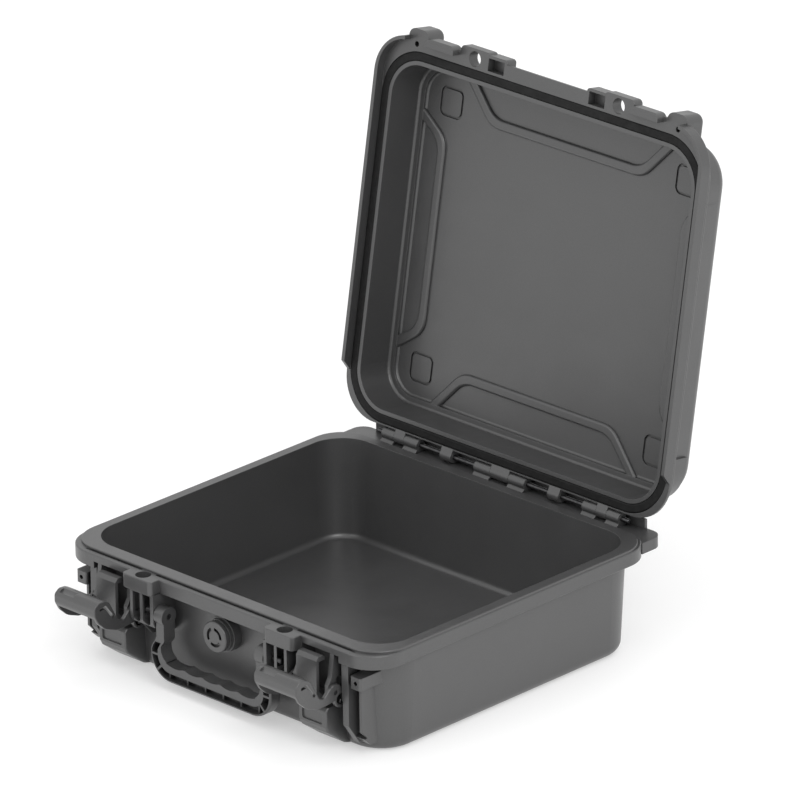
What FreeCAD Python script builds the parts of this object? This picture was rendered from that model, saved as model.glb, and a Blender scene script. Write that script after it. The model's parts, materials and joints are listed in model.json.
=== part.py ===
import FreeCAD, Part
import math
import os

V = FreeCAD.Vector
AXIS_X = V(1, 0, 0)
AXIS_Y = V(0, 1, 0)
AXIS_Z = V(0, 0, 1)

# ---- driving dimensions, millimetres and degrees ----
# The frame: X to the right seen from the front, Y to the back, Z up.
# The origin is the centre of the base's underside, below the middle of the opening.

# inside of the tray
OPENING_W = 330.0
OPENING_D = 289.0
RIM_Z = 92.5
FLOOR_T = 6.0
UNDERSIDE_GROOVE = 1.2
WALL_DRAFT = 4.0
WALL_T = 4.5
CORNER_R = 30.0

FLOOR_FILLET = 5.0
FOOT_SETBACK = 0.5

# rim flange of the base
BAND_HALF_W = 175.0
FLANGE_FRONT_Y = -163.0
FLANGE_REAR_Y = 157.0
FLANGE_Z0 = 78.5
FLANGE_Z1 = 90.5
TONGUE_HALF_W = 174.0
TONGUE_FRONT_Y = -157.0
TONGUE_REAR_Y = 154.0

STEP_GROOVE_W = 1.5
STEP_GROOVE_T = 1.6

# ears on the front corners and the shelf behind the tray
EAR_Z0 = 60.5
EAR_Z1 = 71.0
EAR_HOLE_R = 1.8
REAR_SHELF_X = 168.0
REAR_SHELF_Y = 173.0
REAR_WALL_X = 150.0

# lid, in its closed place
PART_GAP = 0.5
LID_Z = RIM_Z + PART_GAP
LID_DEPTH = 35.0
LID_TOP_T = 7.5
LID_DRAFT = 1.5
LEDGE_W = 6.0
LEDGE_T = 3.0
LIP_T = 3.3
SKIRT_T = 3.4
SKIRT_DROP = 8.0
SKIRT_CLEAR = 1.2
SKIRT_REAR_Y = 112.0
THICK_RIM_T = 6.5
THICK_RIM_OVER = 13.5
SEAL_GROOVE_IN = 3.5
SEAL_GROOVE_W = 7.7
SEAL_GROOVE_T = 3.5
SEAL_PROUD = 0.2

BEAD_W = 8.5
BEAD_T = 2.8
PAD_HALF = 12.5
PAD_GROOVE_W = 1.9
PAD_GROOVE_T = 1.5
TOP_RELIEF = 1.5

# hinge
HINGE_Y = 163.0
HINGE_Z = 96.0
HINGE_R = 5.0
HINGE_PIN_R = 2.0
BORE_CLEAR = 0.05
LID_OPEN_DEG = 100.2

# latches
LATCH_X = 112.0
BAY_HALF = 24.5
BAY_WALL = 3.0
BAY_Z0 = 40.0
BAY_Z1 = 84.5
BAY_FRONT_Y = -160.0
BAY_RIB_HALF_IN = 15.4
BAY_RIB_HALF_OUT = 19.5
LEVER_Y = -165.0
LEVER_Z = 54.0
LEVER_HALF = 23.0
CHEEK_T = 3.0
LEVER_CLOSE_DEG = 100.0
PILLAR_X = 143.8
PIN_R = 2.0
CLAW_PIN_Y = LEVER_Y + 6.5
CLAW_LIFT = 18.0
CLAW_PIN_Z = LEVER_Z - CLAW_LIFT / 2
CLAW_HALF = 11.0
CLAW_FRONT_Y = -174.0
CLAW_T = 3.0
HOOK_TIP_Y = -164.5
HOOK_T = 4.0
KEEPER_TOP_Z = LID_Z + LIP_T
HOOK_UNDER_Z = KEEPER_TOP_Z + 0.2 - CLAW_LIFT
KEEPER_HALF = 16.0
KEEPER_FRONT_Y = -170.0

# padlock lugs
LUG_X = 79.0
LUG_HALF = 16.5
LUG_FRONT_Y = -172.5
LUG_HOLE_Y = -164.0
LUG_HOLE_R = 6.4
LUG_POCKET_Z = 77.5

# handle
HANDLE_PIVOT_Y = -163.5
HANDLE_PIVOT_Z = 62.0
HANDLE_ARM_X0 = 51.5
HANDLE_ARM_X1 = 61.0
HANDLE_PIN_R = 2.5
HANDLE_PIN_END = 75.5
HUB_R = 8.0
GRIP_LOW_Z = 8.5
GRIP_TOP_Z = 24.0
GRIP_END_X = 67.2
HANDLE_HALF_T = 6.0
FINGER_PITCH = 20.0
SCALLOP_R = 26.0
SCALLOP_T = 1.6
POCKET_DEPTH = 8.0
WEB_HALF_T = 0.9
WEB_SETBACK = 4.0

# pressure valve
VALVE_Z = 60.0
VALVE_BORE_R = 8.3


# ---- shape helpers ----
def rounded_rect(half_w, half_d, r, z, mid_y=0.0):
    """Closed rounded rectangle at height z, centred on x = 0 and y = mid_y."""
    cut = r * (1 - math.sqrt(0.5))
    arcs = []
    for sx, sy in ((1, -1), (1, 1), (-1, 1), (-1, -1)):
        on_y = V(sx * (half_w - r), mid_y + sy * half_d, z)
        on_x = V(sx * half_w, mid_y + sy * (half_d - r), z)
        middle = V(sx * (half_w - cut), mid_y + sy * (half_d - cut), z)
        start, end = (on_y, on_x) if sx * sy < 0 else (on_x, on_y)
        arcs.append((start, middle, end))
    edges = []
    for i, (start, middle, end) in enumerate(arcs):
        edges.append(Part.Arc(start, middle, end).toShape())
        edges.append(Part.makeLine(end, arcs[(i + 1) % 4][0]))
    return Part.Wire(edges)


def tapered_block(half_w, half_d, r, z0, z1, grow=0.0, mid_y=0.0):
    """Solid rounded block whose sides lean outward by grow between z0 and z1."""
    low = rounded_rect(half_w, half_d, r, z0, mid_y)
    high = rounded_rect(half_w + grow, half_d + grow, r + grow, z1, mid_y)
    return Part.makeLoft([low, high], True, True)


def ring_block(half_w, y0, y1, r, z0, z1):
    """Rounded block from y0 to y1."""
    return tapered_block(half_w, (y1 - y0) / 2, r, z0, z1, 0.0, (y0 + y1) / 2)


def box(x0, x1, y0, y1, z0, z1):
    return Part.makeBox(x1 - x0, y1 - y0, z1 - z0, V(x0, y0, z0))


def rod(x0, x1, y, z, r):
    """Cylinder along X."""
    return Part.makeCylinder(r, x1 - x0, V(x0, y, z), AXIS_X)


def post(x, y, z0, z1, r):
    """Cylinder along Z."""
    return Part.makeCylinder(r, z1 - z0, V(x, y, z0), AXIS_Z)


def barrel(x, z, y0, y1, r):
    """Cylinder along Y."""
    return Part.makeCylinder(r, y1 - y0, V(x, y0, z), AXIS_Y)


def side_slab(points, x0, x1):
    """Polygon in the YZ plane, extruded from x0 to x1."""
    wire = Part.makePolygon([V(x0, y, z) for y, z in points] + [V(x0, *points[0])])
    return Part.Face(wire).extrude(V(x1 - x0, 0, 0))


def rounded_slab(corners, x0, x1):
    """Polygon in the YZ plane, extruded along X; each corner is (y, z, radius)."""
    slab = side_slab([(y, z) for y, z, r in corners], x0, x1)
    for y, z, r in corners:
        if r:
            edges = [e for e in long_edges(slab, AXIS_X, 1)
                     if abs(e.BoundBox.YMin - y) < 0.01 and abs(e.BoundBox.ZMin - z) < 0.01]
            slab = slab.makeFillet(r, edges)
    return slab


def flat_edges(shape, z):
    return [e for e in shape.Edges if abs(e.BoundBox.ZMin - z) < 0.01 and abs(e.BoundBox.ZMax - z) < 0.01]


def long_edges(shape, direction, least):
    """Straight edges along direction and at least this long."""
    found = []
    for e in shape.Edges:
        if e.Curve.TypeId == "Part::GeomLine" and e.Length >= least:
            if abs(abs(e.Curve.Direction.dot(direction)) - 1) < 1e-6:
                found.append(e)
    return found


def fuse(shapes):
    first = shapes[0]
    return first.multiFuse(shapes[1:]).removeSplitter()


def cut(shape, tools):
    return shape.cut(Part.makeCompound(tools)) if tools else shape


def mirrored(shape):
    return shape.mirror(V(0, 0, 0), AXIS_X)


def both_sides(shapes):
    return list(shapes) + [mirrored(s) for s in shapes]


def turned(shape, y, z, degrees):
    """Copy turned about the line along X through y, z."""
    copy = shape.copy()
    copy.rotate(V(0, y, z), AXIS_X, degrees)
    return copy


# ---- base shell ----
BASE_HALF_W = OPENING_W / 2 + WALL_T - WALL_DRAFT - FOOT_SETBACK
BASE_HALF_D = OPENING_D / 2 + WALL_T - WALL_DRAFT - FOOT_SETBACK
INNER_GROW = WALL_DRAFT * (RIM_Z + 2 - FLOOR_T) / (RIM_Z - FLOOR_T)
LATCH_SLOT_HALF = PIN_R + 0.3


def base_tray():
    """Outer body, flange and raised tongue, before the hollow is cut."""
    body = tapered_block(BASE_HALF_W, BASE_HALF_D, CORNER_R + 2, 0, FLANGE_Z1 - 1, WALL_T + 0.4)
    body = body.makeFillet(9, flat_edges(body, 0))
    flange = ring_block(BAND_HALF_W, FLANGE_FRONT_Y, FLANGE_REAR_Y, 29, FLANGE_Z0, FLANGE_Z1)
    flange = flange.makeFillet(1.2, flat_edges(flange, FLANGE_Z0) + flat_edges(flange, FLANGE_Z1))
    notch = box(LATCH_X - BAY_HALF, LATCH_X + BAY_HALF, -180, -146, FLANGE_Z0 - 1, BAY_Z1)
    flange = cut(flange, both_sides([notch]))
    tongue = ring_block(TONGUE_HALF_W, TONGUE_FRONT_Y, TONGUE_REAR_Y, 29, FLANGE_Z1 - 2, RIM_Z)
    tongue = tongue.makeFillet(0.8, flat_edges(tongue, RIM_Z))
    return [body, flange, tongue]


def base_hollow():
    half_w = OPENING_W / 2 - WALL_DRAFT
    half_d = OPENING_D / 2 - WALL_DRAFT
    hollow = tapered_block(half_w, half_d, CORNER_R - WALL_DRAFT, FLOOR_T, RIM_Z + 2, INNER_GROW)
    return hollow.makeFillet(FLOOR_FILLET, flat_edges(hollow, FLOOR_T))


def bay_wall(x0, x1):
    """Side wall of a latch bay: it stands out of the front wall under the flange."""
    return side_slab([(-140, BAY_Z0 - 6), (-150, BAY_Z0 - 6), (BAY_FRONT_Y, BAY_Z0 + 6),
                      (BAY_FRONT_Y, BAY_Z1 - 2), (BAY_FRONT_Y + 2, BAY_Z1), (-140, BAY_Z1)], x0, x1)


def bay_rib(x0, x1):
    """Rib that carries a lever pin and guides the claw pin."""
    return side_slab([(-140, 38), (-158, 38), (-166, 46), (-169.5, 50), (-169.5, 60), (-166, 66),
                      (-163, BAY_Z1), (-140, BAY_Z1)], x0, x1)


def latch_bay_solids(c):
    """Walls, ribs, the guard block and the pillar beside the latch centred on x = c."""
    outer = BAY_HALF + BAY_WALL
    solids = [bay_wall(c - outer, c - BAY_HALF), bay_wall(c + BAY_HALF, c + outer)]
    solids.append(bay_rib(c - BAY_RIB_HALF_OUT, c - BAY_RIB_HALF_IN))
    solids.append(bay_rib(c + BAY_RIB_HALF_IN, c + BAY_RIB_HALF_OUT))
    guard = side_slab([(-140, 1.5), (-148, 3.5), (-166, 17), (-168.5, 22), (-168.5, 36), (-166, 38.5),
                       (-140, 38.5)], c - 15, c + 15)
    solids.append(guard.makeFillet(1.5, guard_side_edges(guard)))
    pillar = side_slab([(-140, 6), (-148, 8), (BAY_FRONT_Y, 26), (BAY_FRONT_Y, FLANGE_Z0 + 4),
                        (-140, FLANGE_Z0 + 4)], c + BAY_HALF + 1, PILLAR_X)
    solids.append(pillar)
    return solids


def guard_side_edges(guard):
    """Front edges of the guard block on its two sides."""
    found = []
    for e in guard.Edges:
        b = e.BoundBox
        if b.XLength < 0.01 and b.YMax < -147:
            found.append(e)
    return found


def latch_bay_cuts(c):
    """Pin bores, guide slots and the recess in the guard block."""
    low = CLAW_PIN_Z
    high = CLAW_PIN_Z + CLAW_LIFT
    cuts = []
    for x0, x1 in ((c - BAY_RIB_HALF_OUT - 0.3, c - BAY_RIB_HALF_IN + 0.3),
                   (c + BAY_RIB_HALF_IN - 0.3, c + BAY_RIB_HALF_OUT + 0.3)):
        cuts += [
            rod(x0, x1, LEVER_Y, LEVER_Z, PIN_R + BORE_CLEAR),
            rod(x0, x1, CLAW_PIN_Y, low, LATCH_SLOT_HALF),
            rod(x0, x1, CLAW_PIN_Y, high, LATCH_SLOT_HALF),
            box(x0, x1, CLAW_PIN_Y - LATCH_SLOT_HALF, CLAW_PIN_Y + LATCH_SLOT_HALF, low, high),
        ]
    recess = box(c - 11, c + 11, -169.5, -167.3, 24, 34)
    return cuts + [recess.makeFillet(1.8, long_edges(recess, AXIS_Y, 1))]


def padlock_lug(x, z0, z1):
    """Rounded block with a vertical hole for a padlock's shackle."""
    lug = box(x - LUG_HALF, x + LUG_HALF, LUG_FRONT_Y, -150, z0, z1)
    lug = lug.makeFillet(4, [e for e in long_edges(lug, AXIS_Z, 1) if e.BoundBox.YMax < -160])
    return lug.makeFillet(0.8, [e for e in lug.Edges if e.BoundBox.YMax < -150.1 and e.BoundBox.ZLength < 0.01])


def lug_fins():
    """Two fins under the padlock lug with rounded pockets, beside the latch bay's own wall."""
    inner = LATCH_X - BAY_HALF
    block = side_slab([(-140, 44), (-152, 44), (-169, 51), (-171, 55), (-171, 79), (-140, 79)], 61.5, inner)
    pockets = []
    for x0, x1 in ((65.0, 73.5), (76.5, LATCH_X - BAY_HALF - BAY_WALL)):
        r = (x1 - x0) / 2
        mid = (x0 + x1) / 2
        pockets.append(barrel(mid, 56, -180, -149.5, r))
        pockets.append(box(x0, x1, -180, -149.5, 56, LUG_POCKET_Z))
    return cut(block, pockets)


def corner_block():
    """Strap ear and ribbed channel on a front corner."""
    ear = box(147, 158.5, -161.5, -132, EAR_Z0, EAR_Z1)
    ear = ear.makeFillet(2, [e for e in long_edges(ear, AXIS_Z, 1) if e.BoundBox.YMax < -161])
    rib = side_slab([(-135, 11), (-146, 12), (-155.5, 22), (-155.5, 62), (-135, 62)], 151, 153.4)
    foot = side_slab([(-135, 8), (-146, 9), (-152, 15), (-146, 17), (-135, 17)], PILLAR_X - 1, 153.4)
    return [ear, rib, foot]


def rear_shelf():
    """Shelf behind the tray under the hinge, with ears past the hinge's ends and a low guard wall."""
    shelf = box(-REAR_SHELF_X, REAR_SHELF_X, 148, REAR_SHELF_Y, FLANGE_Z0 + 2, FLANGE_Z1 - 0.6)
    shelf = shelf.makeFillet(11, [e for e in long_edges(shelf, AXIS_Z, 1) if e.BoundBox.YMin > 160])
    wall = box(-REAR_WALL_X, REAR_WALL_X, HINGE_Y + 7.2, REAR_SHELF_Y, FLANGE_Z1 - 2, HINGE_Z + 2.5)
    top = [e for e in long_edges(wall, AXIS_X, 1) if e.BoundBox.ZMin > HINGE_Z]
    return [shelf, wall.makeFillet(0.8, top)]


def knuckle(x0, x1, lower, clear_bore):
    """Hinge knuckle with a web down to the base's flange or forward to the lid's rim."""
    eye = rod(x0, x1, HINGE_Y, HINGE_Z, HINGE_R)
    if lower:
        web = side_slab([(150, 80), (160, 80), (HINGE_Y + 5, 88), (HINGE_Y + 5, HINGE_Z),
                         (HINGE_Y, HINGE_Z), (155.5, 90)], x0, x1)
    else:
        web = side_slab([(152, LID_Z), (156, LID_Z), (HINGE_Y, HINGE_Z - HINGE_R), (HINGE_Y, HINGE_Z + HINGE_R),
                         (152, 101)], x0, x1)
    solid = eye.fuse(web)
    return solid.cut(rod(x0 - 1, x1 + 1, HINGE_Y, HINGE_Z, clear_bore))


BASE_KNUCKLES = ((10.3, 28.0), (92.0, 107.0), (118.6, 132.0))
LID_KNUCKLES = ((54.0, 66.0), (107.3, 118.3))
LID_MIDDLE_KNUCKLE = (-10.0, 10.0)


def hinge_bore():
    return HINGE_PIN_R + BORE_CLEAR


def base_knuckles():
    return [knuckle(x0, x1, True, hinge_bore()) for x0, x1 in BASE_KNUCKLES]


def valve_boss():
    return barrel(0, VALVE_Z, -156.5, -143, 15)


def underside_groove():
    """Shallow groove that frames the flat middle of the underside."""
    outer = tapered_block(146, 124, 20, -1, UNDERSIDE_GROOVE)
    inner = tapered_block(134, 112, 14, -2, UNDERSIDE_GROOVE + 1)
    return outer.cut(inner)


def padlock_hole(x, z0, z1):
    return post(x, LUG_HOLE_Y, z0, z1, LUG_HOLE_R)


def base_shell():
    right = latch_bay_solids(LATCH_X) + [padlock_lug(LUG_X, FLANGE_Z0, FLANGE_Z1), lug_fins()]
    right += corner_block() + base_knuckles()
    solid = fuse(base_tray() + both_sides(right) + rear_shelf() + [valve_boss()])
    cuts = latch_bay_cuts(LATCH_X) + shackle_way()
    cuts.append(rod(HANDLE_ARM_X0 - 1, HANDLE_PIN_END + 0.5, HANDLE_PIVOT_Y, HANDLE_PIVOT_Z,
                    HANDLE_PIN_R + BORE_CLEAR))
    cuts.append(barrel(153, (EAR_Z0 + EAR_Z1) / 2, -165, -150, EAR_HOLE_R))
    cuts.append(step_groove(LUG_X + 8, 150))
    cuts = both_sides(cuts) + [step_groove(8 - LUG_X, LUG_X - 8), base_hollow(), underside_groove()]
    return cut(solid, cuts + [barrel(0, VALVE_Z, -170, -130, VALVE_BORE_R)])


def shackle_way():
    """Padlock hole through the lug, and the room under it between the fins."""
    return [padlock_hole(LUG_X, LUG_POCKET_Z, FLANGE_Z1 + 1),
            post(LUG_X, LUG_HOLE_Y, LUG_POCKET_Z - 19, LUG_POCKET_Z, LUG_HOLE_R + 0.8)]


def step_groove(x0, x1):
    """Groove in the flange along the foot of the tongue's front."""
    low = FLANGE_Z1 - STEP_GROOVE_T
    return box(x0, x1, TONGUE_FRONT_Y - STEP_GROOVE_W, TONGUE_FRONT_Y, low, FLANGE_Z1 + 1)


# ---- lid shell, made in its closed place ----
LID_HALF_W = OPENING_W / 2 + WALL_T
LID_HALF_D = OPENING_D / 2 + WALL_T
LID_FLOOR_Z = LID_Z + LID_DEPTH
LID_TOP_Z = LID_FLOOR_Z + LID_TOP_T
SKIRT_OUT = BAND_HALF_W + SKIRT_CLEAR + SKIRT_T
LIP_FRONT_Y = FLANGE_FRONT_Y - SKIRT_CLEAR - SKIRT_T


def lid_outside():
    """Dished outer body, thin lip and thick rim."""
    body = tapered_block(LID_HALF_W, LID_HALF_D, CORNER_R + 5, LID_Z, LID_TOP_Z, -WALL_T)
    body = body.makeFillet(11, flat_edges(body, LID_TOP_Z))
    lip = ring_block(SKIRT_OUT, LIP_FRONT_Y, FLANGE_REAR_Y, 35, LID_Z, LID_Z + LIP_T)
    lip = lip.makeFillet(1.0, flat_edges(lip, LID_Z + LIP_T))
    rim = ring_block(OPENING_W / 2 + THICK_RIM_OVER, -OPENING_D / 2 - THICK_RIM_OVER - 4.5, FLANGE_REAR_Y,
                     CORNER_R + 8, LID_Z, LID_Z + THICK_RIM_T)
    rim = rim.makeFillet(1.5, flat_edges(rim, LID_Z + THICK_RIM_T))
    return [body, lip, rim]


def lid_skirt():
    """Downturned edge along the sides and round the front corners."""
    low = LID_Z - SKIRT_DROP
    outer = ring_block(SKIRT_OUT, LIP_FRONT_Y, FLANGE_REAR_Y, 35, low, LID_Z + 1)
    inner = ring_block(SKIRT_OUT - SKIRT_T, LIP_FRONT_Y + SKIRT_T, FLANGE_REAR_Y, 30, low - 1, LID_Z)
    front = box(-150, 150, -180, -140, low - 1, LID_Z)
    rear = side_slab([(SKIRT_REAR_Y, low - 1), (SKIRT_REAR_Y + SKIRT_DROP + 1, LID_Z), (200, LID_Z), (200, low - 1)],
                     -200, 200)
    return cut(outer, [inner, front, rear])


def corner_guards():
    """Raised bands round the lid's corners."""
    shell = tapered_block(LID_HALF_W + 1.8, LID_HALF_D + 1.8, CORNER_R + 6.8, LID_Z + 1, LID_Z + 30, -2.6)
    cross_x = box(-LID_HALF_W + 44, LID_HALF_W - 44, -200, 200, 0, 200)
    cross_y = box(-200, 200, -LID_HALF_D + 44, LID_HALF_D - 44, 0, 200)
    return cut(shell, [cross_x, cross_y])


def skirt_ribs():
    """Small ribs in the hollow between the lid's wall and the lip, outside."""
    ribs = []
    for y in range(-105, 106, 30):
        rib = box(LID_HALF_W - 4, SKIRT_OUT - 0.6, y - 1, y + 1, LID_Z + 1, LID_Z + 11)
        ribs.append(cut(rib, [outer_slope(y)]))
    return ribs


def outer_slope(y):
    """Wedge that slopes a rib's outer end."""
    points = [V(SKIRT_OUT + 1, y - 2, LID_Z + 3), V(SKIRT_OUT + 1, y - 2, LID_Z + 12),
              V(LID_HALF_W - 1, y - 2, LID_Z + 12)]
    wire = Part.makePolygon(points + [points[0]])
    return Part.Face(wire).extrude(V(0, 4, 0))


def keeper(c):
    """Lobe that the latch claw hooks over."""
    lobe = side_slab([(-150, LID_Z), (FLANGE_FRONT_Y - 0.4, LID_Z), (FLANGE_FRONT_Y - 0.4, LID_Z - SKIRT_DROP),
                      (KEEPER_FRONT_Y + 2, LID_Z - SKIRT_DROP), (KEEPER_FRONT_Y, LID_Z - SKIRT_DROP + 2),
                      (KEEPER_FRONT_Y, KEEPER_TOP_Z), (-150, KEEPER_TOP_Z)], c - KEEPER_HALF, c + KEEPER_HALF)
    corners = [e for e in long_edges(lobe, AXIS_Z, 4) if e.BoundBox.YMax < KEEPER_FRONT_Y + 0.1]
    return lobe.makeFillet(6, corners)


def keeper_backing(c):
    """Domed rib that stiffens the lip behind the keeper."""
    dome = barrel(c, LID_Z, FLANGE_FRONT_Y, -146, KEEPER_HALF)
    upper = box(c - 20, c + 20, -170, -140, LID_Z + 1, LID_Z + 30)
    return dome.common(upper)


def corner_lug():
    """Rounded lug on a front corner of the lid, with a small eye beside it."""
    lug = box(131, 153, -173.5, -148, LID_Z, LID_Z + 20)
    lug = lug.makeFillet(7, [e for e in long_edges(lug, AXIS_Z, 1) if e.BoundBox.YMax < -173])
    top = [e for e in lug.Edges if e.BoundBox.ZMin > LID_Z + 19.9 and e.BoundBox.YMin < -148.5]
    return lug.makeFillet(3.5, top)


def lid_box():
    """Reinforcing block beside the padlock lug."""
    block = box(44, 66, -171, -148, LID_Z, LID_Z + 11)
    return block.makeFillet(3, [e for e in long_edges(block, AXIS_Z, 1) if e.BoundBox.YMax < -166])


def lid_box_pocket():
    return box(46.5, 64, -168.5, -158, LID_Z - 1, LID_Z + 8.5)


def trapezoid(inner, half_in, half_wall, wall, z0, z1, along_x):
    """Trapezoid prism that opens to a wall; inner and wall are signed distances."""
    flat = [(-half_wall, wall), (-half_in, inner), (half_in, inner), (half_wall, wall)]
    points = [V(a, b, z0) if along_x else V(b, a, z0) for a, b in flat]
    wire = Part.makePolygon(points + [points[0]])
    solid = Part.Face(wire).extrude(V(0, 0, z1 - z0))
    axis = AXIS_Y if along_x else AXIS_X
    soft = [e for e in long_edges(solid, AXIS_Z, 1) if abs(e.Vertexes[0].Point.dot(axis) - inner) < 0.1]
    return solid.makeFillet(22, soft)


def bead(inner, half_in, half_wall, wall, along_x):
    """Raised bead that outlines a trapezoid on the lid's ceiling."""
    sign = 1 if wall > 0 else -1
    z0 = LID_FLOOR_Z - BEAD_T
    z1 = LID_FLOOR_Z + 1
    outer = trapezoid(inner, half_in, half_wall, wall, z0, z1, along_x)
    hollow = trapezoid(inner + sign * BEAD_W, half_in - BEAD_W * 0.42, half_wall - BEAD_W * 1.25, wall + sign,
                       z0 - 1, z1 + 1, along_x)
    ridge = outer.cut(hollow)
    return ridge.makeFillet(BEAD_T * 0.75, flat_edges(ridge, z0))


def ceiling_beads():
    wall_y = OPENING_D / 2 - LID_DRAFT + 1.0
    wall_x = OPENING_W / 2 - LID_DRAFT + 1.0
    beads = []
    for sign in (-1, 1):
        beads.append(bead(sign * 103, 84, 122, sign * wall_y, True))
        beads.append(bead(sign * 130, 82, 106, sign * wall_x, False))
    return beads


def corner_pad_grooves():
    """Grooves that outline a rounded square in each corner of the lid's ceiling."""
    grooves = []
    for sx in (-1, 1):
        for sy in (-1, 1):
            outer = tapered_block(PAD_HALF, PAD_HALF, 6, LID_FLOOR_Z - 1, LID_FLOOR_Z + PAD_GROOVE_T)
            island = PAD_HALF - PAD_GROOVE_W
            inner = tapered_block(island, island, 6 - PAD_GROOVE_W, LID_FLOOR_Z - 2, LID_FLOOR_Z + 2)
            groove = outer.cut(inner)
            groove.translate(V(sx * 130, sy * 112, 0))
            grooves.append(groove)
    return grooves


def lid_hollow():
    """Inside of the lid, with a low ledge round the foot of its walls."""
    ledge_z = LID_FLOOR_Z - LEDGE_T
    wide = tapered_block(OPENING_W / 2 + 0.1, OPENING_D / 2 + 0.1, CORNER_R, LID_Z - 2, ledge_z, -LID_DRAFT)
    wide = wide.makeFillet(2.5, flat_edges(wide, ledge_z))
    inset = LID_DRAFT + LEDGE_W
    deep = tapered_block(OPENING_W / 2 - inset, OPENING_D / 2 - inset, CORNER_R - inset, LID_Z, LID_FLOOR_Z)
    return wide.fuse(deep.makeFillet(2, flat_edges(deep, LID_FLOOR_Z)))


def seal_ring(clear, z0, z1):
    """Ring that follows the opening, inside the seal groove by clear."""
    out = SEAL_GROOVE_IN + SEAL_GROOVE_W - clear
    inn = SEAL_GROOVE_IN + clear
    outer = tapered_block(OPENING_W / 2 + out, OPENING_D / 2 + out, CORNER_R + out, z0, z1)
    inner = tapered_block(OPENING_W / 2 + inn, OPENING_D / 2 + inn, CORNER_R + inn, z0 - 1, z1 + 1)
    return outer.cut(inner)


def lid_top_relief():
    """Shallow panel on the lid's outside that leaves a stacking pad at each corner."""
    panel = tapered_block(140, 120, 18, LID_TOP_Z - TOP_RELIEF, LID_TOP_Z + 2)
    pads = []
    for sx in (-1, 1):
        for sy in (-1, 1):
            pad = box(sx * 122 - 27, sx * 122 + 27, sy * 102 - 27, sy * 102 + 27, LID_TOP_Z - 5, LID_TOP_Z + 5)
            pads.append(pad.makeFillet(9, long_edges(pad, AXIS_Z, 1)))
    return cut(panel, pads)


def lid_knuckles():
    sides = [knuckle(x0, x1, False, hinge_bore()) for x0, x1 in LID_KNUCKLES]
    return both_sides(sides) + [knuckle(*LID_MIDDLE_KNUCKLE, False, hinge_bore())]


def lid_shell():
    right = [keeper(LATCH_X), keeper_backing(LATCH_X), padlock_lug(LUG_X, LID_Z, LID_Z + 10), corner_lug(), lid_box()] + skirt_ribs()
    hollowed = cut(fuse(lid_outside() + [lid_skirt(), corner_guards()] + both_sides(right) + lid_knuckles()),
                   [lid_hollow(), lid_top_relief()])
    solid = fuse([hollowed] + ceiling_beads())
    cuts = [padlock_hole(LUG_X, LID_Z - 10, LID_Z + 12), post(143.5, -161, LID_Z - 10, LID_Z + 25, 2.25),
            lid_box_pocket()]
    cuts = both_sides(cuts) + corner_pad_grooves()
    cuts.append(seal_ring(0, LID_Z - 1, LID_Z + SEAL_GROOVE_T))
    return opened(cut(solid, cuts))


def lid_seal():
    ring = seal_ring(0.2, LID_Z - SEAL_PROUD, LID_Z + SEAL_GROOVE_T)
    edges = flat_edges(ring, LID_Z - SEAL_PROUD)
    return opened(ring.makeFillet(1.4, edges))


def opened(shape):
    return turned(shape, HINGE_Y, HINGE_Z, -LID_OPEN_DEG)


def hinge_pin():
    """One of the two steel rods that the hinge turns on."""
    pin = rod(4, 140, HINGE_Y, HINGE_Z, HINGE_PIN_R)
    return pin.makeChamfer(0.4, [e for e in pin.Edges if e.BoundBox.XLength < 0.01])


# ---- handle ----
def front_slab(corners, y0, y1):
    """Polygon in the XZ plane, extruded along Y; each corner is (x, z, radius)."""
    points = [V(x, y0, z) for x, z, r in corners]
    slab = Part.Face(Part.makePolygon(points + [points[0]])).extrude(V(0, y1 - y0, 0))
    for x, z, r in corners:
        if r:
            edges = [e for e in long_edges(slab, AXIS_Y, 0.1)
                     if abs(e.BoundBox.XMin - x) < 0.01 and abs(e.BoundBox.ZMin - z) < 0.01]
            slab = slab.makeFillet(r, edges)
    return slab


def handle_outline(inset, y0, y1):
    """Outer outline of the handle, filled in, moved inward by inset."""
    top = HANDLE_ARM_X1 - inset
    low = GRIP_END_X - inset
    z = GRIP_LOW_Z + inset
    right = [(low, z, 21.5 - inset), (low, 34, 6), (top, 44, 6), (top, HANDLE_PIVOT_Z, 0)]
    left = [(-x, height, r) for x, height, r in reversed(right)]
    return front_slab(right + left, y0, y1)


def handle_loop(y0, y1):
    """Inside of the handle's loop."""
    right = [(55.5, GRIP_TOP_Z, 11), (55.5, 37, 3), (HANDLE_ARM_X0, 42, 4), (HANDLE_ARM_X0, HANDLE_PIVOT_Z + 1, 0)]
    left = [(-x, height, r) for x, height, r in reversed(right)]
    return front_slab(right + left, y0, y1)


def handle():
    """Carrying handle, hanging at rest."""
    y0 = HANDLE_PIVOT_Y - HANDLE_HALF_T
    y1 = HANDLE_PIVOT_Y + HANDLE_HALF_T
    outline = handle_outline(0, y0, y1)
    rims = [e for e in outline.Edges if e.BoundBox.YLength < 0.01 and e.BoundBox.ZMin < HANDLE_PIVOT_Z - 0.1]
    solid = cut(outline.makeFillet(1.6, rims), [handle_loop(y0 - 1, y1 + 1)])
    hub = rod(HANDLE_ARM_X0, HANDLE_ARM_X1, HANDLE_PIVOT_Y, HANDLE_PIVOT_Z, HUB_R)
    solid = fuse([solid] + both_sides([hub]))
    bore = rod(HANDLE_ARM_X0 - 1, HANDLE_ARM_X1 + 1, HANDLE_PIVOT_Y, HANDLE_PIVOT_Z, HANDLE_PIN_R + BORE_CLEAR)
    return cut(solid, finger_scallops() + handle_pockets(y0) + both_sides([bore]))


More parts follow.
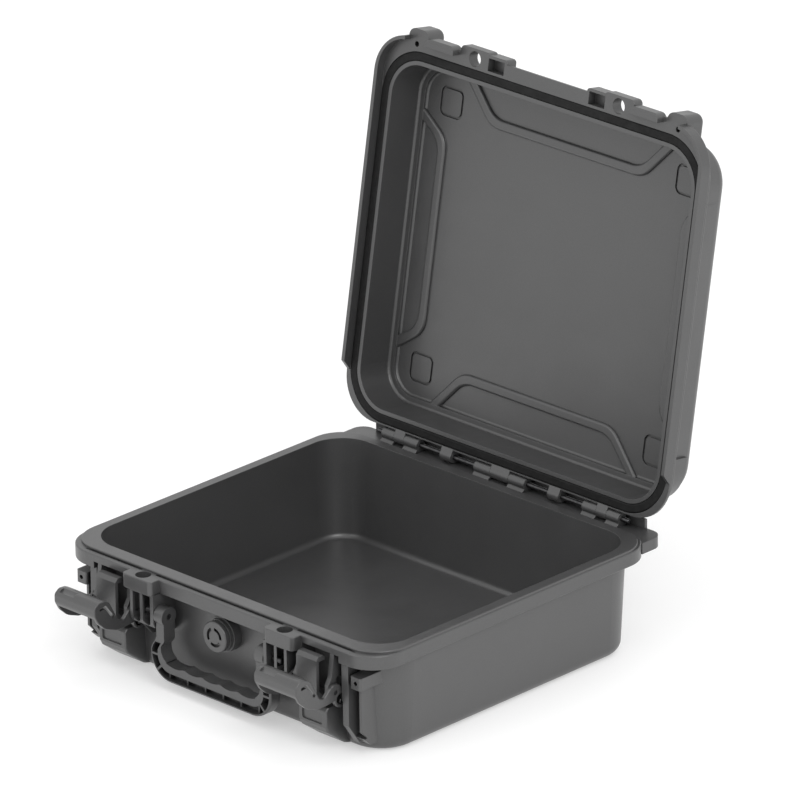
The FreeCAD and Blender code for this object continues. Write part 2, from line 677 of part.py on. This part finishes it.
def finger_scallops():
    """Five shallow hollows along the top of the grip."""
    scallops = []
    for i in range(-2, 3):
        scallop = barrel(i * FINGER_PITCH, GRIP_TOP_Z + SCALLOP_R - SCALLOP_T, -190, -140, SCALLOP_R)
        scallops.append(scallop.common(box(-50, 50, -190, -140, GRIP_TOP_Z - 4, GRIP_TOP_Z + 1)))
    return scallops


def handle_pockets(y0):
    """Pockets along the outside of the grip and arms, open to the front, with webs between them."""
    end = y0 + POCKET_DEPTH
    band = handle_outline(1.8, y0 - 1, end)
    band = band.cut(handle_outline(8.2, y0 - 2, end + 1))
    band = band.common(box(-100, 100, y0 - 3, end + 2, 0, 40))
    webs = []
    for i in range(-2, 4):
        x = (i - 0.5) * FINGER_PITCH
        webs.append(box(x - WEB_HALF_T, x + WEB_HALF_T, y0 + WEB_SETBACK, end + 1, 0, 20))
    for side in (-1, 1):
        web = box(-WEB_HALF_T, WEB_HALF_T, y0 - 2, end + 1, -20, 20)
        web.rotate(V(0, 0, 0), AXIS_Y, side * 45)
        web.translate(V(-side * 60, 0, 16))
        webs.append(web)
        webs.append(box(side * 61 - 8, side * 61 + 8, y0 - 2, end + 1, 28.5, 28.5 + 2 * WEB_HALF_T))
    return band.cut(Part.makeCompound(webs)).Solids


def handle_pin():
    pin = rod(HANDLE_ARM_X0 + 0.5, HANDLE_PIN_END, HANDLE_PIVOT_Y, HANDLE_PIVOT_Z, HANDLE_PIN_R)
    return pin.makeChamfer(0.4, [e for e in pin.Edges if e.BoundBox.XLength < 0.01])


# ---- latches ----
# Profiles are (y, z) offsets from the lever's hinge line, with the lever standing open.
LEVER_PROFILE = (
    (0, -7, 0), (-12, -8.3, 8), (-20, -8, 8), (-32, -3.5, 11), (-39.5, 3.5, 8), (-43.5, 11, 6), (-43.5, 18, 4),
    (-38.5, 21.5, 4.5), (-32, 21, 8), (-27, 18.5, 7), (-18, 1, 3), (-13, -1.5, 3), (-6, 5, 3), (0, 7, 0))
LEVER_CAVITY = (
    (20, 20), (-20, 20), (-25.5, 12), (-34, 17.3), (-39.5, 17), (-40, 12), (-42, 7), (-42, -2), (-35, -12),
    (20, -20))
HORN_MID = (5.75, -6.95)
HORN_R = 7.1
HORN_WINDOW_R = 4.9


def lever_at(points):
    """The same points, measured from the origin instead of from the lever's hinge."""
    return [(LEVER_Y + y, LEVER_Z + z, *rest) for y, z, *rest in points]


def latch_lever(c):
    """Over-centre lever: two cheeks joined by a plate at the free end."""
    x0 = c - LEVER_HALF
    x1 = c + LEVER_HALF
    inner = LEVER_HALF - CHEEK_T
    body = rounded_slab(lever_at(LEVER_PROFILE), x0, x1)
    hub = rod(x0, x1, LEVER_Y, LEVER_Z, 7)
    horn = rod(x0, x1, LEVER_Y + HORN_MID[0], LEVER_Z + HORN_MID[1], HORN_R)
    solid = fuse([body, hub, horn])
    solid = solid.makeFillet(0.8, [e for e in solid.Edges if e.BoundBox.XLength < 0.01])
    cavity = side_slab(lever_at(LEVER_CAVITY), c - inner, c + inner)
    bore = rod(x0 - 1, x1 + 1, LEVER_Y, LEVER_Z, PIN_R + BORE_CLEAR)
    window = rod(x0 - 1, x1 + 1, LEVER_Y + HORN_MID[0], LEVER_Z + HORN_MID[1], HORN_WINDOW_R)
    recess = finger_recess(c)
    return cut(solid, [cavity, bore, window, recess] + cheek_slots(c))


def shifted_left(shape):
    """Copy of a right-hand latch piece at the left latch, not mirrored."""
    copy = shape.copy()
    copy.translate(V(-2 * LATCH_X, 0, 0))
    return copy


def finger_recess(c):
    """Rounded notch on the lever's free end for a finger."""
    return rod(c - 19, c - 3, LEVER_Y - 40.5, LEVER_Z + 26.4, 7)


def cheek_slots(c):
    """Curved slot through each cheek near the free end."""
    path = lever_at(((-36.5, 15.0), (-31.5, 15.8), (-23.5, 5.0)))
    slots = []
    for (y0, z0), (y1, z1) in zip(path, path[1:]):
        length = math.hypot(y1 - y0, z1 - z0)
        ny = -(z1 - z0) / length * 1.2
        nz = (y1 - y0) / length * 1.2
        quad = [(y0 + ny, z0 + nz), (y1 + ny, z1 + nz), (y1 - ny, z1 - nz), (y0 - ny, z0 - nz)]
        slots.append(side_slab(quad, c - LEVER_HALF - 1, c + LEVER_HALF + 1))
    for y, z in path:
        slots.append(rod(c - LEVER_HALF - 1, c + LEVER_HALF + 1, y, z, 1.2))
    return slots


def lever_pins(c):
    """Two short pins, each through a cheek into the rib inside it."""
    inner = BAY_RIB_HALF_IN + 0.4
    outer = LEVER_HALF - 0.3
    pins = []
    for x0, x1 in ((c - outer, c - inner), (c + inner, c + outer)):
        pin = rod(x0, x1, LEVER_Y, LEVER_Z, PIN_R)
        pins.append(pin.makeChamfer(0.3, [e for e in pin.Edges if e.BoundBox.XLength < 0.01]))
    return Part.makeCompound(pins)


CLAW_PROFILE = ((HOOK_TIP_Y, HOOK_UNDER_Z), (HOOK_TIP_Y, HOOK_UNDER_Z + 2.5), (-166, HOOK_UNDER_Z + HOOK_T),
                (-171.2, HOOK_UNDER_Z + HOOK_T), (CLAW_FRONT_Y, HOOK_UNDER_Z + 1.2), (CLAW_FRONT_Y, 52), (-171.5, 45.5),
                (CLAW_PIN_Y, CLAW_PIN_Z - 4), (CLAW_PIN_Y, CLAW_PIN_Z + 4), (-168, CLAW_PIN_Z + 4.5),
                (CLAW_FRONT_Y + CLAW_T, 53), (CLAW_FRONT_Y + CLAW_T, HOOK_UNDER_Z))


def latch_claw(c):
    """Hooked plate that pulls the lid's keeper down."""
    plate = side_slab(CLAW_PROFILE, c - CLAW_HALF, c + CLAW_HALF)
    eye = rod(c - CLAW_HALF, c + CLAW_HALF, CLAW_PIN_Y, CLAW_PIN_Z, 4)
    rib = side_slab([(-172, 56), (-169, 58), (-169, HOOK_UNDER_Z + 2), (-172, HOOK_UNDER_Z + 2)], c - 1.2, c + 1.2)
    solid = plate.fuse([eye, keeper_safe(rib)]).removeSplitter()
    return solid.cut(rod(c - CLAW_HALF - 1, c + CLAW_HALF + 1, CLAW_PIN_Y, CLAW_PIN_Z, PIN_R + BORE_CLEAR))


def keeper_safe(rib):
    """Rib cut back where the lid's keeper comes."""
    keeper_low = LID_Z - SKIRT_DROP - CLAW_LIFT
    return rib.cut(box(-400, 400, -171.3, -150, keeper_low - 3, 120))


def claw_pin(c):
    """Pin that rides in the guide slots and carries the claw."""
    pin = rod(c - LEVER_HALF + 0.2, c + LEVER_HALF - 0.2, CLAW_PIN_Y, CLAW_PIN_Z, PIN_R)
    return pin.makeChamfer(0.3, [e for e in pin.Edges if e.BoundBox.XLength < 0.01])


# ---- pressure valve ----
VALVE_FACE_Y = -156.5
VALVE_FLANGE_Y = -159.6
VALVE_END_Y = -136.0


def valve_body():
    """Flanged barrel through the front wall."""
    flange = barrel(0, VALVE_Z, VALVE_FLANGE_Y, VALVE_FACE_Y, 13.8)
    tube = barrel(0, VALVE_Z, VALVE_FLANGE_Y, VALVE_END_Y, VALVE_BORE_R - 0.2)
    cuts = [
        barrel(0, VALVE_Z, VALVE_FLANGE_Y - 1, -154, 4.3),
        barrel(0, VALVE_Z, -154, -151.4, 5.3),
        barrel(0, VALVE_Z, -152, -148, 2),
        barrel(0, VALVE_Z, -149, VALVE_END_Y + 1, 6.2),
        barrel(0, VALVE_Z, -157.8, VALVE_FACE_Y + 1, 12.2).cut(barrel(0, VALVE_Z, -158, -150, 9.2)),
    ]
    return cut(flange.fuse(tube).removeSplitter(), cuts)


def valve_seal():
    """Soft ring between the valve's flange and the boss."""
    ring = barrel(0, VALVE_Z, -157.75, VALVE_FACE_Y, 12.1).cut(barrel(0, VALVE_Z, -158, -150, 9.3))
    return ring


def valve_membrane():
    return barrel(0, VALVE_Z, -149, -148.2, 6.1)


def valve_nut():
    """Hexagonal nut on the inside."""
    inside_y = -OPENING_D / 2 + WALL_DRAFT * (RIM_Z - VALVE_Z + 14) / (RIM_Z - FLOOR_T)
    points = []
    for i in range(7):
        a = math.radians(60 * i)
        points.append(V(14 * math.cos(a), inside_y, VALVE_Z + 14 * math.sin(a)))
    hexagon = Part.Face(Part.makePolygon(points)).extrude(V(0, VALVE_END_Y - 0.8 - inside_y, 0))
    return hexagon.cut(barrel(0, VALVE_Z, -160, -130, VALVE_BORE_R))


def valve_knob():
    """Round knob with three curved air slots, on a stem with a snap collar."""
    head = barrel(0, VALVE_Z, -164.3, VALVE_FLANGE_Y - 0.4, 13)
    head = head.makeFillet(1.4, [e for e in head.Edges if e.BoundBox.YMax < -164.2])
    stem = barrel(0, VALVE_Z, -161, -152, 4.1)
    collar = barrel(0, VALVE_Z, -153.7, -152, 4.9)
    solid = head.fuse([stem, collar]).removeSplitter()
    ring = barrel(0, VALVE_Z, -165, -161.8, 8.2).cut(barrel(0, VALVE_Z, -166, -160, 5.6))
    cuts = []
    for i in range(3):
        wedge = Part.makeCylinder(12, 10, V(0, -168, VALVE_Z), AXIS_Y, 92)
        wedge.rotate(V(0, 0, VALVE_Z), AXIS_Y, 120 * i)
        cuts.append(ring.common(wedge))
    return cut(solid, cuts)


# ---- build ----
def export(parts):
    os.makedirs("parts", exist_ok=True)
    for name, shape in parts.items():
        print(name, shape.isValid(), len(shape.Solids), round(shape.Volume / 1000, 2))
        shape.exportStep("parts/" + name + ".step")


export({
    "base_shell": base_shell(),
    "lid_shell": lid_shell(),
    "lid_seal": lid_seal(),
    "hinge_pin_left": mirrored(hinge_pin()),
    "hinge_pin_right": hinge_pin(),
    "handle": handle(),
    "handle_pin_left": mirrored(handle_pin()),
    "handle_pin_right": handle_pin(),
    "latch_lever_left": shifted_left(latch_lever(LATCH_X)),
    "latch_lever_right": latch_lever(LATCH_X),
    "lever_pins_left": lever_pins(-LATCH_X),
    "lever_pins_right": lever_pins(LATCH_X),
    "latch_claw_left": latch_claw(-LATCH_X),
    "latch_claw_right": latch_claw(LATCH_X),
    "claw_pin_left": claw_pin(-LATCH_X),
    "claw_pin_right": claw_pin(LATCH_X),
    "valve_body": valve_body(),
    "valve_knob": valve_knob(),
    "valve_seal": valve_seal(),
    "valve_membrane": valve_membrane(),
    "valve_nut": valve_nut(),
})
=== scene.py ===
import json
import math

import bpy
from mathutils import Matrix, Vector

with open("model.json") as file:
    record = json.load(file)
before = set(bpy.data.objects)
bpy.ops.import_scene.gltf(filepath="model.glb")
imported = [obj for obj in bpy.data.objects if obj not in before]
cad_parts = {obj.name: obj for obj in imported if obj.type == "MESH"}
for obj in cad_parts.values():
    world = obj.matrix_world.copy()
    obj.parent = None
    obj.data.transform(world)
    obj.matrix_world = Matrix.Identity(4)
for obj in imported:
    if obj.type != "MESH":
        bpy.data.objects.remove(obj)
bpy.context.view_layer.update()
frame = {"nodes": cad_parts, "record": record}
nodes = frame["nodes"]

# ---- camera: a long lens from the front right, a little above; metres, lens and sensor in mm ----
AZIMUTH = math.radians(44.71)
ELEVATION = math.radians(22.55)
ROLL = 0.015
DISTANCE = 7.548
TARGET = Vector((0.0465, 0.0, 0.2245))
SENSOR_WIDTH = 36
LENS = 432.09
CLIP_END = 50

# ---- studio: three soft lamps in a white room, and a white floor just under the case ----
LAMP_AIM = Vector((0, 0.05, 0.15))
# name, place, width and height, watts
LAMPS = (
    ("key", (2.6, -1.0, 2.4), (1.6, 1.6), 40),
    ("front", (-0.6, -3.0, 1.6), (2.0, 1.4), 14),
    ("top", (0.3, 0.6, 3.2), (2.4, 2.4), 8),
)
ROOM_STRENGTH = 1.0
FLOOR_HALF = 30.0
FLOOR_Z = -0.0006
FLOOR_WHITE = 0.6
FLOOR_ROUGH = 0.9
FLOOR_GLOW = 0.4

# ---- looks: linear colours and roughness ----
CASE_COLOUR = (0.047, 0.047, 0.0475)
CASE_ROUGH = 0.35
FITTING_COLOUR = (0.043, 0.043, 0.0435)
FITTING_ROUGH = 0.33
MEMBRANE_COLOUR = (0.6, 0.6, 0.59)
MEMBRANE_ROUGH = 0.8
CASE_EDGE = 0.0006
FITTING_EDGE = 0.0005
EDGE_SAMPLES = 4

# noise in an object's own space: cells per metre, detail, roughness
BLOTCH_NOISE = (9.0, 4.0, 0.6)
FLECK_NOISE = (1500, 2.0, 0.55)
GLOSS_NOISE = (35, 5.0, 0.65)
GRAIN_NOISE = (1100, 2.0, 0.5)
STEEL_TONE_NOISE = (400, 4, 0.55)
STEEL_GLOSS_NOISE = (900, 3, 0.55)
RUBBER_TONE_NOISE = (300, 4, 0.55)
RUBBER_GLOSS_NOISE = (60, 4, 0.55)

# where a colour ramp's two ends lie on the value that drives it
BLOTCH_ENDS = (0.25, 0.75)
FLECK_ENDS = (0.35, 0.7)
# ends of the ramp that turns crease occlusion into painted shade
PAINTED_SHADE_ENDS = (0.15, 0.75)
USUAL_ENDS = (0.3, 0.7)

# moulded plastic: how far its colour and roughness wander, and its grain
BLOTCH_SPREAD = 0.07
FLECK_DARK = 0.86
FLECK_LIGHT = 1.12
GLOSS_BELOW = 0.05
GLOSS_ABOVE = 0.06
PLASTIC_SPECULAR = 0.88
GRAIN_STRENGTH = 0.12
GRAIN_DEPTH = 0.0004

# painted shade in its creases: how near the next wall has to be, and how dark the painted shade in the
# deepest ones is
PAINTED_SHADE_REACH = 0.007
PAINTED_SHADE_SAMPLES = 6
PAINTED_SHADE_DARK = 0.12

STEEL_DARK = (0.06, 0.06, 0.062)
STEEL_LIGHT = (0.11, 0.11, 0.113)
STEEL_ROUGH = (0.28, 0.42)
RUBBER_SHADE = (0.005, 0.011)
RUBBER_ROUGH = (0.6, 0.75)
RUBBER_SPECULAR = 0.22


def add_camera():
    data = bpy.data.cameras.new("camera")
    data.sensor_width = SENSOR_WIDTH
    data.lens = LENS
    data.clip_end = CLIP_END
    cam = bpy.data.objects.new("camera", data)
    bpy.context.scene.collection.objects.link(cam)
    out = Vector((math.sin(AZIMUTH) * math.cos(ELEVATION), -math.cos(AZIMUTH) * math.cos(ELEVATION),
                  math.sin(ELEVATION)))
    turn = out.to_track_quat("Z", "Y").to_matrix().to_4x4() @ Matrix.Rotation(-ROLL, 4, "Z")
    cam.matrix_world = Matrix.Translation(TARGET + out * DISTANCE) @ turn
    bpy.context.scene.camera = cam


def area_light(name, place, size, watts):
    """A rectangular lamp at place that faces LAMP_AIM and isn't seen itself."""
    data = bpy.data.lights.new(name, "AREA")
    data.shape = "RECTANGLE"
    data.size, data.size_y = size
    data.energy = watts
    lamp = bpy.data.objects.new(name, data)
    bpy.context.scene.collection.objects.link(lamp)
    turn = (Vector(place) - LAMP_AIM).to_track_quat("Z", "Y").to_matrix().to_4x4()
    lamp.matrix_world = Matrix.Translation(Vector(place)) @ turn
    lamp.visible_camera = False


def add_lights():
    for name, place, size, watts in LAMPS:
        area_light(name, place, size, watts)


def add_world():
    world = bpy.data.worlds.new("studio")
    bpy.context.scene.world = world
    world.use_nodes = True
    tree = world.node_tree
    tree.nodes.clear()
    out = tree.nodes.new("ShaderNodeOutputWorld")
    back = tree.nodes.new("ShaderNodeBackground")
    back.inputs["Color"].default_value = (1, 1, 1, 1)
    back.inputs["Strength"].default_value = ROOM_STRENGTH
    tree.links.new(back.outputs[0], out.inputs[0])
    bpy.context.scene.view_settings.view_transform = "Standard"


# ---- shader helpers ----
def new_material(name):
    mat = bpy.data.materials.new(name)
    mat.use_nodes = True
    return mat, mat.node_tree, mat.node_tree.nodes["Principled BSDF"]


def grey(value):
    return (value,) * 3


def noise(tree, scale, detail, rough):
    coord = tree.nodes.new("ShaderNodeTexCoord")
    tex = tree.nodes.new("ShaderNodeTexNoise")
    tex.inputs["Scale"].default_value = scale
    tex.inputs["Detail"].default_value = detail
    tex.inputs["Roughness"].default_value = rough
    tree.links.new(coord.outputs["Object"], tex.inputs["Vector"])
    return tex.outputs["Fac"]


def ramp(tree, source, ends, low, high):
    """Turns source into a colour, low up to the first end and high from the second one on."""
    node = tree.nodes.new("ShaderNodeValToRGB")
    for element, place, colour in zip(node.color_ramp.elements, ends, (low, high)):
        element.position = place
        element.color = (*colour, 1)
    tree.links.new(source, node.inputs["Fac"])
    return node.outputs["Color"]


def multiply(tree, first, second):
    mix = tree.nodes.new("ShaderNodeMix")
    mix.data_type = "RGBA"
    mix.blend_type = "MULTIPLY"
    mix.inputs["Factor"].default_value = 1
    tree.links.new(first, mix.inputs["A"])
    tree.links.new(second, mix.inputs["B"])
    return mix.outputs["Result"]


# ---- materials ----
def moulded(name, colour, rough, edge=CASE_EDGE):
    """Fine-grained moulding: its colour a little mottled, painted shade darkening its creases, its edges
    softened.
    """
    mat, tree, shader = new_material(name)
    dark = [c * (1 - BLOTCH_SPREAD) for c in colour]
    light = [c * (1 + BLOTCH_SPREAD) for c in colour]
    base = ramp(tree, noise(tree, *BLOTCH_NOISE), BLOTCH_ENDS, dark, light)
    fleck = ramp(tree, noise(tree, *FLECK_NOISE), FLECK_ENDS, grey(FLECK_DARK), grey(FLECK_LIGHT))
    mottled = multiply(tree, base, fleck)

    # painted shade: ambient occlusion from the object's own nearby walls darkens the base colour in its
    # creases and recesses
    crease_occlusion = tree.nodes.new("ShaderNodeAmbientOcclusion")
    crease_occlusion.samples = PAINTED_SHADE_SAMPLES
    crease_occlusion.only_local = True
    crease_occlusion.inputs["Distance"].default_value = PAINTED_SHADE_REACH
    painted_shade = ramp(tree, crease_occlusion.outputs["AO"], PAINTED_SHADE_ENDS, grey(PAINTED_SHADE_DARK), grey(1))
    tree.links.new(multiply(tree, mottled, painted_shade), shader.inputs["Base Color"])
    shader.inputs["Specular IOR Level"].default_value = PLASTIC_SPECULAR

    gloss = ramp(tree, noise(tree, *GLOSS_NOISE), USUAL_ENDS,
                 grey(rough - GLOSS_BELOW), grey(rough + GLOSS_ABOVE))
    tree.links.new(gloss, shader.inputs["Roughness"])

    soft = tree.nodes.new("ShaderNodeBevel")
    soft.samples = EDGE_SAMPLES
    soft.inputs["Radius"].default_value = edge
    bump = tree.nodes.new("ShaderNodeBump")
    bump.inputs["Strength"].default_value = GRAIN_STRENGTH
    bump.inputs["Distance"].default_value = GRAIN_DEPTH
    tree.links.new(noise(tree, *GRAIN_NOISE), bump.inputs["Height"])
    tree.links.new(soft.outputs["Normal"], bump.inputs["Normal"])
    tree.links.new(bump.outputs["Normal"], shader.inputs["Normal"])
    return mat


def steel(name):
    """Drawn rod, dulled and darkened."""
    mat, tree, shader = new_material(name)
    shader.inputs["Metallic"].default_value = 1
    tree.links.new(ramp(tree, noise(tree, *STEEL_TONE_NOISE), USUAL_ENDS, STEEL_DARK, STEEL_LIGHT),
                   shader.inputs["Base Color"])
    smooth, dull = STEEL_ROUGH
    tree.links.new(ramp(tree, noise(tree, *STEEL_GLOSS_NOISE), USUAL_ENDS, grey(smooth), grey(dull)),
                   shader.inputs["Roughness"])
    return mat


def rubber(name):
    """Matt black seal."""
    mat, tree, shader = new_material(name)
    dark, light = RUBBER_SHADE
    tree.links.new(ramp(tree, noise(tree, *RUBBER_TONE_NOISE), USUAL_ENDS, grey(dark), grey(light)),
                   shader.inputs["Base Color"])
    smooth, dull = RUBBER_ROUGH
    tree.links.new(ramp(tree, noise(tree, *RUBBER_GLOSS_NOISE), USUAL_ENDS, grey(smooth), grey(dull)),
                   shader.inputs["Roughness"])
    shader.inputs["Specular IOR Level"].default_value = RUBBER_SPECULAR
    return mat


def paint_nodes():
    """Every CAD node gets the look of its record's material slot."""
    case = moulded("case_plastic_look", CASE_COLOUR, CASE_ROUGH)
    fittings = moulded("fitting_plastic_look", FITTING_COLOUR, FITTING_ROUGH, FITTING_EDGE)
    looks = {
        "case_plastic": case,
        "handle_plastic": fittings,
        "latch_plastic": fittings,
        "valve_plastic": fittings,
        "pin_steel": steel("pin_steel_look"),
        "seal_rubber": rubber("seal_rubber_look"),
        "membrane_fabric": moulded("membrane_look", MEMBRANE_COLOUR, MEMBRANE_ROUGH),
    }
    for part in frame["record"]["subparts"]:
        mesh = nodes[part["node"]].data
        mesh.materials.clear()
        mesh.materials.append(looks[part["material_slot"]])


def add_floor():
    mesh = bpy.data.meshes.new("floor")
    corners = ((-1, -1), (1, -1), (1, 1), (-1, 1))
    mesh.from_pydata([(x * FLOOR_HALF, y * FLOOR_HALF, FLOOR_Z) for x, y in corners], [], [(0, 1, 2, 3)])
    floor = bpy.data.objects.new("floor", mesh)
    bpy.context.scene.collection.objects.link(floor)
    mat, _, shader = new_material("floor_white")
    shader.inputs["Base Color"].default_value = (*grey(FLOOR_WHITE), 1)
    shader.inputs["Roughness"].default_value = FLOOR_ROUGH
    shader.inputs["Emission Color"].default_value = (1, 1, 1, 1)
    shader.inputs["Emission Strength"].default_value = FLOOR_GLOW
    mesh.materials.append(mat)


add_camera()
add_lights()
add_world()
add_floor()
paint_nodes()
